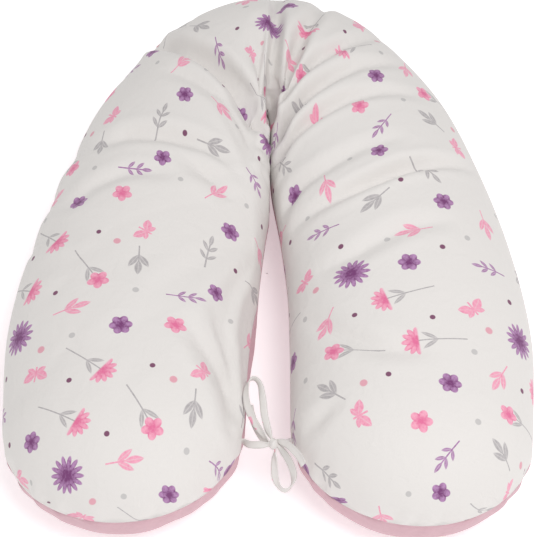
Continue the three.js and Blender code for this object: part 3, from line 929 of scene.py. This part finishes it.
def leaf_at(tree, leaf, place, x, angle, length, width):
    """A leaf's mask: where it starts along the stem, its angle from the stem, its length and its width."""
    moved = node(tree, "ShaderNodeVectorMath", {0: place, 1: (x, 0, 0)}, operation="SUBTRACT")
    turn = {"Vector": moved, "Angle": radians(-angle)}
    turned = node(tree, "ShaderNodeVectorRotate", turn, rotation_type="Z_AXIS")
    scaled = node(tree, "ShaderNodeVectorMath", {0: turned, "Scale": 1 / length}, operation="SCALE")
    return node(tree, "ShaderNodeGroup", {"Place": scaled, "Width": 4 * width}, node_tree=leaf)


def leafy_group(name, leaf, leaves, stem, stem_half=0.035):
    """leaves: where each starts, its angle, length and width. stem: from and to along the stem."""
    group, given = node_group(name, {"Place": "Vector"}, {"Mask": "Float"})
    folded = fold_place(group, given["Place"])
    xyz = node(group, "ShaderNodeSeparateXYZ", {0: folded})
    middle, reach = (stem[0] + stem[1]) / 2, (stem[1] - stem[0]) / 2
    from_middle = node(group, "ShaderNodeMath", {0: xyz.outputs[0], 1: middle}, operation="SUBTRACT")
    along = node(group, "ShaderNodeMath", {0: from_middle}, operation="ABSOLUTE")
    ends = node(group, "ShaderNodeMath", {0: along, 1: reach}, operation="LESS_THAN")
    thin = node(group, "ShaderNodeMath", {0: xyz.outputs[1], 1: stem_half}, operation="LESS_THAN")
    mask = node(group, "ShaderNodeMath", {0: ends, 1: thin}, operation="MULTIPLY")
    for x, angle, length, width in leaves:
        one = leaf_at(group, leaf, folded, x, angle, length, width)
        mask = node(group, "ShaderNodeMath", {0: mask, 1: one}, operation="MAXIMUM")
    node(group, "NodeGroupOutput", {"Mask": mask})
    return group


place_motif = place_group()
petals = petal_group()
leaf = leaf_group()
three_leaves = [(0.05, 0, 1.0, 0.19), (-0.3, 30, 0.95, 0.18)]
five_leaves = [(0.35, 0, 0.7, 0.17), (0.05, 38, 0.62, 0.17), (-0.45, 42, 0.6, 0.17)]
sprig_of_three = leafy_group("sprig_of_three", leaf, three_leaves, (-0.85, 0.2))
sprig_of_five = leafy_group("sprig_of_five", leaf, five_leaves, (-1, 0.5))
leafy_stem = leafy_group("leafy_stem", leaf, [(-0.42, 30, 0.4, 0.13)], (-1, 0), 0.014)
wings = leafy_group("wings", leaf, [(-0.15, 62, 1.0, 0.3), (-0.1, 118, 0.72, 0.27)], (-0.5, 0.45), 0.06)
print("motif shapes:", len(bpy.data.node_groups))

# %% The print's plan
# Each line is one motif: its shape, its place in the repeat in mm, the way it points and its size. An ink has
# a light tone, and a deep one for where the paint pools.
PURPLE, PINK, GREY = "#b286b2", "#eda6bc", "#b9b4b5"
DEEP_PURPLE, DEEP_PINK, DEEP_GREY = "#74386f", "#dd6f98", "#928e90"
DEEP = {PURPLE: DEEP_PURPLE, PINK: DEEP_PINK, GREY: DEEP_GREY}
PLUM_DOT, ROSE_DOT, GREY_DOT = "#7c4c68", "#dda2af", "#c1bebd"
FLOWER_TURN = 17  # degrees
CARNATION_STEM, CARNATION_HEAD = 58, 19  # mm
STEM_TONE = 0.1
BLOT = 3.6  # mm, of the paint's light and dark spots
FLOWERS = [  # x, y, waves, notch, size, ink
    (0, 0, 7, 0.42, 24, PURPLE),
    (62, 29, 3, 0.25, 14, PURPLE),
    (-59, -118, 3, 0.25, 14, PURPLE),
    (75, 138, 3, 0.25, 14, PURPLE),
    (-28, 196, 2.5, 0.3, 13, PURPLE),
    (18, -114, 2.5, 0.35, 14, PINK),
    (-75, -178, 2.5, 0.35, 14, PINK),
]
CARNATIONS = [(55, -32, 219), (109, -78, 209)]  # x, y and the way the head points
LEAFY = [  # shape, x, y, turn, size, colour
    (leafy_stem, 18, -114, 194, 62, GREY),
    (sprig_of_three, 53, 83, 210, 26, PINK),
    (sprig_of_three, -8, -72, 262, 25, PINK),
    (sprig_of_three, -86, 139, 300, 25, PINK),
    (sprig_of_three, -8, 117, 240, 27, GREY),
    (sprig_of_five, 40, 182, 330, 29, GREY),
    (sprig_of_three, 34, -168, 160, 26, GREY),
    (sprig_of_five, -67, 68, 200, 24, PURPLE),
    (sprig_of_five, -35, -205, 250, 24, PURPLE),
    (wings, -71, -4, 150, 21, PINK),
    (wings, 78, -190, 40, 20, PINK),
]
DOTS = [  # x, y, radius, colour
    (-30, 42, 3.4, PLUM_DOT),
    (27, -62, 3.2, PLUM_DOT),
    (92, 66, 3.4, PLUM_DOT),
    (-108, -40, 3.2, PLUM_DOT),
    (94, -134, 3.2, PLUM_DOT),
    (14, 152, 3.4, PLUM_DOT),
    (-43, -22, 4.6, ROSE_DOT),
    (70, -152, 4.4, ROSE_DOT),
    (24, 62, 3.8, GREY_DOT),
    (-48, -62, 3.8, GREY_DOT),
    (-104, 96, 3.8, GREY_DOT),
    (-14, -150, 3.8, GREY_DOT),
    (-66, 182, 3.6, GREY_DOT),
]


# %% Cloth surface
# Cotton percale has about 25 threads a centimetre. That is finer than the eye sees from here, so the weave is
# drawn at 1.2 mm, as a bump of crossed ridges. A second, much larger bump is the faint crumple that washed
# cotton keeps, and a little sheen stands for its fuzz.
THREAD = 1.2  # mm
CRUMPLE = 26.0  # mm


def pattern_in_mm(tree, turn=0):
    """The piece's own flat pattern, in mm, turned by some degrees."""
    flat = node(tree, "ShaderNodeUVMap", uv_map="pattern")
    scaled = node(tree, "ShaderNodeVectorMath", {0: flat, "Scale": 1 / MM}, operation="SCALE")
    rotate = {"Vector": scaled, "Angle": radians(turn)}
    return node(tree, "ShaderNodeVectorRotate", rotate, rotation_type="Z_AXIS")


def cloth_bump(tree, pattern, thread, crumple_depth=1.7):
    """The normal of a woven, slightly crumpled cloth."""
    threads = node(tree, "ShaderNodeVectorMath", {0: pattern, "Scale": math.pi / thread}, operation="SCALE")
    xyz = node(tree, "ShaderNodeSeparateXYZ", {0: threads})
    warp = node(tree, "ShaderNodeMath", {0: xyz.outputs[0]}, operation="SINE")
    weft = node(tree, "ShaderNodeMath", {0: xyz.outputs[1]}, operation="SINE")
    weave = node(tree, "ShaderNodeMath", {0: warp, 1: weft}, operation="MULTIPLY")
    fuzz = {"Vector": pattern, "Scale": 1 / CRUMPLE, "Detail": 4.0, "Roughness": 0.5, "Distortion": 0.9}
    crumple = node(tree, "ShaderNodeTexNoise", fuzz)
    soft = node(tree, "ShaderNodeBump", {"Height": crumple, "Strength": 0.8, "Distance": crumple_depth * MM})
    woven = {"Height": weave, "Strength": 0.25, "Distance": 0.1 * MM, "Normal": soft}
    return node(tree, "ShaderNodeBump", woven)


def printed_cotton():
    made, tree = new_material("printed_cotton_percale")
    pattern = pattern_in_mm(tree, -PRINT_TURN)
    blots = {"Vector": pattern, "Scale": 1 / BLOT, "Detail": 3.0, "Roughness": 0.6}
    wash = node(tree, "ShaderNodeTexNoise", blots)
    uneven = node(tree, "ShaderNodeMath", {0: wash, 1: 2.0, 2: -0.92}, operation="MULTIPLY_ADD")

    def put(x, y, turn, size):
        spot = {"Pattern": pattern, "Centre": (x, y, 0), "Turn": turn, "Size": size}
        return node(tree, "ShaderNodeGroup", spot, node_tree=place_motif)

    def paint(under, mask, tone, ink):
        shade = node(tree, "ShaderNodeMath", {0: tone, 1: uneven}, operation="ADD", use_clamp=True)
        tones = {"Fac": shade, "Color1": colour(ink), "Color2": colour(DEEP[ink])}
        wet = node(tree, "ShaderNodeMixRGB", tones)
        return node(tree, "ShaderNodeMixRGB", {"Fac": mask, "Color1": under, "Color2": wet})

    cloth = node(tree, "ShaderNodeRGB")
    cloth.outputs[0].default_value = colour("#dfdbd8")
    for shape, x, y, turn, size, ink in LEAFY:
        spot = put(x, y, turn, size)
        mask = node(tree, "ShaderNodeGroup", {"Place": spot}, node_tree=shape)
        cloth = paint(cloth, mask, STEM_TONE, ink)
    for x, y, turn in CARNATIONS:
        stem = put(x, y, turn, CARNATION_STEM)
        mask = node(tree, "ShaderNodeGroup", {"Place": stem}, node_tree=leafy_stem)
        cloth = paint(cloth, mask, STEM_TONE, GREY)
        spot = put(x, y, turn, CARNATION_HEAD)
        head = node(tree, "ShaderNodeGroup", {"Place": spot, "Waves": 6.0, "Notch": 0.32}, node_tree=petals)
        ahead = node(tree, "ShaderNodeSeparateXYZ", {0: spot})
        front = {0: ahead.outputs[0], 1: 9.0, 2: 1.2}
        half = node(tree, "ShaderNodeMath", front, operation="MULTIPLY_ADD", use_clamp=True)
        fan = node(tree, "ShaderNodeMath", {0: head.outputs["Mask"], 1: half}, operation="MULTIPLY")
        cloth = paint(cloth, fan, head.outputs["Tone"], PINK)
    for x, y, waves, notch, size, ink in FLOWERS:
        spot = put(x, y, FLOWER_TURN, size)
        flower = {"Place": spot, "Waves": waves, "Notch": notch}
        head = node(tree, "ShaderNodeGroup", flower, node_tree=petals)
        cloth = paint(cloth, head.outputs["Mask"], head.outputs["Tone"], ink)
    for x, y, radius, ink in DOTS:
        spot = put(x, y, 0, radius)
        away = node(tree, "ShaderNodeVectorMath", {0: spot}, operation="LENGTH")
        inside = {0: away.outputs["Value"], 1: -4.0, 2: 4.6}
        mask = node(tree, "ShaderNodeMath", inside, operation="MULTIPLY_ADD", use_clamp=True)
        cloth = node(tree, "ShaderNodeMixRGB", {"Fac": mask, "Color1": cloth, "Color2": colour(ink)})
    look = {
        "Base Color": cloth,
        "Roughness": 0.85,
        "Sheen Weight": 0.15,
        "Sheen Roughness": 0.5,
        "Normal": cloth_bump(tree, pattern, THREAD),
    }
    finish_material(tree, node(tree, "ShaderNodeBsdfPrincipled", look))
    return made


def dyed_cotton(name, dye, thread, crumple_depth=1.7):
    """Plain cotton in one dye: where the threads lie a little thicker, the colour is a little deeper."""
    made, tree = new_material(name)
    pattern = pattern_in_mm(tree)
    slub = node(tree, "ShaderNodeTexNoise", {"Vector": pattern, "Scale": 1 / 5, "Detail": 3.0})
    level = {"Fac": slub, "Color1": colour(dye[0]), "Color2": colour(dye[1])}
    look = {
        "Base Color": node(tree, "ShaderNodeMixRGB", level),
        "Roughness": 0.85,
        "Sheen Weight": 0.15,
        "Sheen Roughness": 0.5,
        "Normal": cloth_bump(tree, pattern, thread, crumple_depth),
    }
    finish_material(tree, node(tree, "ShaderNodeBsdfPrincipled", look))
    return made


percale = printed_cotton()
pink_cotton = dyed_cotton("pink_cotton_percale", ("#d4aeb7", "#cba4ad"), THREAD)
casing_cotton = dyed_cotton("white_cotton_casing", ("#f6f4ef", "#ebe8e2"), THREAD)
print("print nodes:", len(percale.node_tree.nodes))

# %% [markdown]
# The panels, the casing and the filling can now be made in their cloths. The filling is a mass of crimped
# fibre, so it is white with a fine tangled bump.

# %% Inner pillow and panels in place
casing = inside_copy("inner_casing", 6, casing_cotton)
filling = inside_copy("filling", 9, dyed_cotton("hollow_polyester_fibre", ("#fbfbfa", "#f1f0ee"), 4.0, 3.0))
cover_top = take_panel("printed_panel", 0, percale)
cover_bottom = take_panel("pink_panel", 1, pink_cotton)
bpy.data.objects.remove(cover)
for piece in (casing, filling, cover_top, cover_bottom):
    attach(piece, "pillow")
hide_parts("cover_top_panel")
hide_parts("cover_bottom_panel")
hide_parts("inner_casing_top", "inner_casing_bottom")
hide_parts("fibre_filling")
print("printed panel:", len(cover_top.data.polygons), "faces")

# %% [markdown]
# ## Ties in their cloth
# The ties and the knot were made first, before there was a print, so they get it now.

# %% Ties and tacks
for piece in (tie_left, tie_right, knot):
    piece.data.materials.append(percale)


WAVE_BANDS = 3.2  # that a wave texture draws in a unit of length at scale 1


def thread_finish(name, shade, spacing):
    """Polyester thread lying side by side: fine ridges with a soft gloss."""
    made, tree = new_material(name)
    place = node(tree, "ShaderNodeTexCoord").outputs["Object"]
    ridges = {"Vector": place, "Scale": 1 / (spacing * MM) / WAVE_BANDS, "Distortion": 0.4}
    lines = node(tree, "ShaderNodeTexWave", ridges, bands_direction="Z")
    relief = {"Height": lines.outputs["Fac"], "Strength": 0.6, "Distance": 0.15 * MM}
    look = {
        "Base Color": colour(shade),
        "Roughness": 0.5,
        "Sheen Weight": 0.2,
        "Normal": node(tree, "ShaderNodeBump", relief),
    }
    finish_material(tree, node(tree, "ShaderNodeBsdfPrincipled", look))
    return made


tacking_thread = thread_finish("white_polyester_thread", "#efebe8", 0.5)
zip_tape = thread_finish("woven_polyester_zip_tape", "#e6bcc3", 0.7)


def dress_nodes(finish, *names):
    for name in names:
        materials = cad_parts[name].data.materials
        materials.clear()
        materials.append(finish)


dress_nodes(tacking_thread, "bar_tack_left", "bar_tack_right")
dress_nodes(zip_tape, "zip_tape_upper", "zip_tape_lower")

# %% [markdown]
# ## The zip
# A coil zip is two nylon coils whose turns lock into each other. Turned into mesh, one turn is a small
# rounded block, and some 230 of them stand in a row on each tape, the lower row half a pitch behind the
# upper. The slider and the pull are zinc castings: copies of the CAD pieces with their edges eased, because
# nothing cast has a sharp edge. The end stops keep their CAD shape and get the same zinc. As the script
# stands, the turns aren't moved to their places: see the note in add_block.


# %% Zip finishes
def nylon_coil():
    """Dyed nylon: smooth, a little glossy, with fine drawing lines that break up the highlight."""
    made, tree = new_material("dyed_nylon_coil")
    place = node(tree, "ShaderNodeTexCoord").outputs["Object"]
    lines = node(tree, "ShaderNodeTexNoise", {"Vector": place, "Scale": 1 / (0.8 * MM), "Detail": 2.0})
    gloss = {0: lines, 1: 0.15, 2: 0.3}
    look = {
        "Base Color": colour("#deb0b8"),
        "Roughness": node(tree, "ShaderNodeMath", gloss, operation="MULTIPLY_ADD"),
        "IOR": 1.53,
    }
    finish_material(tree, node(tree, "ShaderNodeBsdfPrincipled", look))
    return made


def cast_zinc():
    """Zinc casting, tumbled smooth and nickel plated: bright, with a soft unevenness from the tumbling."""
    made, tree = new_material("nickel_plated_zinc")
    place = node(tree, "ShaderNodeTexCoord").outputs["Object"]
    tumbled = node(tree, "ShaderNodeTexNoise", {"Vector": place, "Scale": 1 / (1.5 * MM), "Detail": 3.0})
    rough = {0: tumbled, 1: 0.2, 2: 0.22}
    dents = {"Height": tumbled, "Strength": 0.2, "Distance": 0.08 * MM}
    look = {
        "Base Color": colour("#d5d3cf"),
        "Metallic": 1.0,
        "Roughness": node(tree, "ShaderNodeMath", rough, operation="MULTIPLY_ADD"),
        "Normal": node(tree, "ShaderNodeBump", dents),
    }
    finish_material(tree, node(tree, "ShaderNodeBsdfPrincipled", look))
    return made


nylon = nylon_coil()
zinc = cast_zinc()

# %% Coils
COIL_PITCH = 1.5  # mm
COIL_RADIUS = 196  # of the coils' middle, about the bend's centre
COIL_TURN = (0.62, 1.7, 2.3)  # mm: along the zip, outwards and up
COIL_RISE = 0.95  # mm between a turn's middle and the zip's
COIL_END = 0.4  # degrees left free at each end of the zip


def about_bend(angle, radius, z):
    """A point round the bend, in mm, from degrees, a radius and a height."""
    x = -radius * math.sin(radians(angle))
    return Vector((x, BEND_CENTRE_Y + radius * math.cos(radians(angle)), z))


def facing_out(angle, radius, z):
    """The place of a small piece that faces out of the bend: its own y points out."""
    return Matrix.Translation(about_bend(angle, radius, z) * MM) @ Matrix.Rotation(radians(angle), 4, "Z")


def add_block(shape, size, ease, place):
    """Adds one block with eased edges to a shape that holds many of them."""
    made = bmesh.ops.create_cube(shape, size=1)["verts"]
    bmesh.ops.scale(shape, verts=made, vec=[length * MM for length in size])
    edges = list({e for v in made for e in v.link_edges})
    bmesh.ops.bevel(shape, geom=edges, offset=ease * MM, segments=1, affect="EDGES", profile=0.5, material=-1)
    # Known fault: the bevel has numbered the new points by now, so this picks none of them, nothing is moved
    # and every block stays at the origin. The points have to be told apart in some other way.
    fresh = [v for v in shape.verts if v.index == -1]
    bmesh.ops.transform(shape, verts=fresh, matrix=place)
    shape.verts.index_update()


def coil(name, up):
    shape = bmesh.new()
    pitch_angle = math.degrees(COIL_PITCH / COIL_RADIUS)
    turns = int(2 * (ZIP_HALF_ANGLE - COIL_END) / pitch_angle)
    for k in range(turns):
        angle = -ZIP_HALF_ANGLE + COIL_END + (k + (0.25 if up > 0 else 0.75)) * pitch_angle
        add_block(shape, COIL_TURN, 0.2, facing_out(angle, COIL_RADIUS, SEAM_HEIGHT + up * COIL_RISE))
    piece = add_piece(name, shape, nylon)
    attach(piece, "pillow")
    return piece, turns


for side, up in (("upper", 1), ("lower", -1)):
    piece, turns = coil("coil_turns_" + side, up)
    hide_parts("zip_coil_" + side)
print("turns on each tape:", turns)


# %% Castings
def eased_copy(name, node_name, body, ease):
    shape = bmesh.new()
    shape.from_mesh(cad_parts[node_name].data)
    bmesh.ops.remove_doubles(shape, verts=shape.verts, dist=0.005 * MM)
    bmesh.ops.dissolve_limit(shape, angle_limit=radians(3), verts=shape.verts, edges=shape.edges)
    sharp = [e for e in shape.edges if len(e.link_faces) == 2 and e.calc_face_angle() > radians(35)]
    rounding = {"segments": 2, "affect": "EDGES", "profile": 0.5, "material": -1, "clamp_overlap": True}
    bmesh.ops.bevel(shape, geom=sharp, offset=ease * MM, **rounding)
    piece = add_piece(name, shape, zinc, smooth=False)
    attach(piece, body)
    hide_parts(node_name)
    return piece


eased_copy("slider_body", "zip_slider", "zip_slider", 0.15)
eased_copy("pull_tab", "zip_pull", "zip_pull", 0.22)
dress_nodes(zinc, "zip_top_stop_upper", "zip_top_stop_lower", "zip_bottom_stop")

# %% [markdown]
# ## Stitches and label
# Beside the zip the cover's edges are stitched down. Each stitch is a short rounded length of thread pressed
# into the cloth, so it is placed where a line from outside meets the panel. The care label is a strip of
# white satin caught in the seam: a grid, curled a little at its free end. The stitches share the fault that
# add_block notes.

# %% Stitches
STITCH = 2.6  # mm
STITCH_THICK = 0.5
STITCH_EVERY = 3.5
STITCH_BESIDE = 8.5  # mm from the middle of the zip


def stitch_row(name, panel, up):
    shape = bmesh.new()
    step = math.degrees(STITCH_EVERY / BEND_RADIUS)
    count = int(2 * (ZIP_HALF_ANGLE + 2) / step)
    for k in range(count):
        angle = -ZIP_HALF_ANGLE - 2 + k * step
        z = SEAM_HEIGHT + up * STITCH_BESIDE
        outside = about_bend(angle, BEND_RADIUS + 40, z) * MM
        inward = (about_bend(angle, BEND_RADIUS, z) * MM - outside).normalized()
        hit, point, _, _ = panel.ray_cast(outside, inward)
        if not hit:
            continue
        lie = Matrix.Translation(point) @ Matrix.Rotation(radians(angle), 4, "Z")
        add_block(shape, (STITCH, STITCH_THICK, STITCH_THICK), 0.16, lie)
    piece = add_piece(name, shape, tacking_thread)
    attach(piece, "pillow")
    return count


print("stitches:", stitch_row("stitches_upper", cover_top, 1), stitch_row("stitches_lower", cover_bottom, -1))

# %% Label
LABEL_ANGLE = ZIP_HALF_ANGLE + 3.5
LABEL_WIDTH, LABEL_LENGTH = 18, 28


def label_satin():
    """White polyester satin: close diagonal ribs and a clear sheen."""
    made, tree = new_material("white_satin_ribbon")
    place = node(tree, "ShaderNodeTexCoord").outputs["Object"]
    ribs_wave = {"Vector": place, "Scale": 1 / (0.9 * MM) / WAVE_BANDS}
    ribs_fac = node(tree, "ShaderNodeTexWave", ribs_wave, bands_direction="DIAGONAL").outputs["Fac"]
    relief = {"Height": ribs_fac, "Strength": 0.3, "Distance": 0.08 * MM}
    look = {
        "Base Color": colour("#f7f6f1"),
        "Roughness": 0.42,
        "Sheen Weight": 0.3,
        "Normal": node(tree, "ShaderNodeBump", relief),
    }
    finish_material(tree, node(tree, "ShaderNodeBsdfPrincipled", look))
    return made


def care_label():
    shape = bmesh.new()
    bmesh.ops.create_grid(shape, x_segments=8, y_segments=14, size=0.5)
    lie = facing_out(LABEL_ANGLE, BEND_RADIUS + 0.7, 0)
    for vert in shape.verts:
        hang = 0.5 - vert.co.y
        curl = 2.2 * max(0, hang - 0.45) ** 2
        wave = 0.35 * math.sin(7 * vert.co.x) * hang
        at = Vector((vert.co.x * LABEL_WIDTH, curl + wave, SEAM_HEIGHT - hang * LABEL_LENGTH))
        vert.co = lie @ (at * MM)
    piece = add_piece("satin_care_label", shape, label_satin())
    add_modifier(piece, "SOLIDIFY", thickness=0.3 * MM, offset=0)
    bake(piece)
    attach(piece, "pillow")
    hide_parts("care_label")
    return piece


label = care_label()
print("label faces:", len(label.data.polygons))
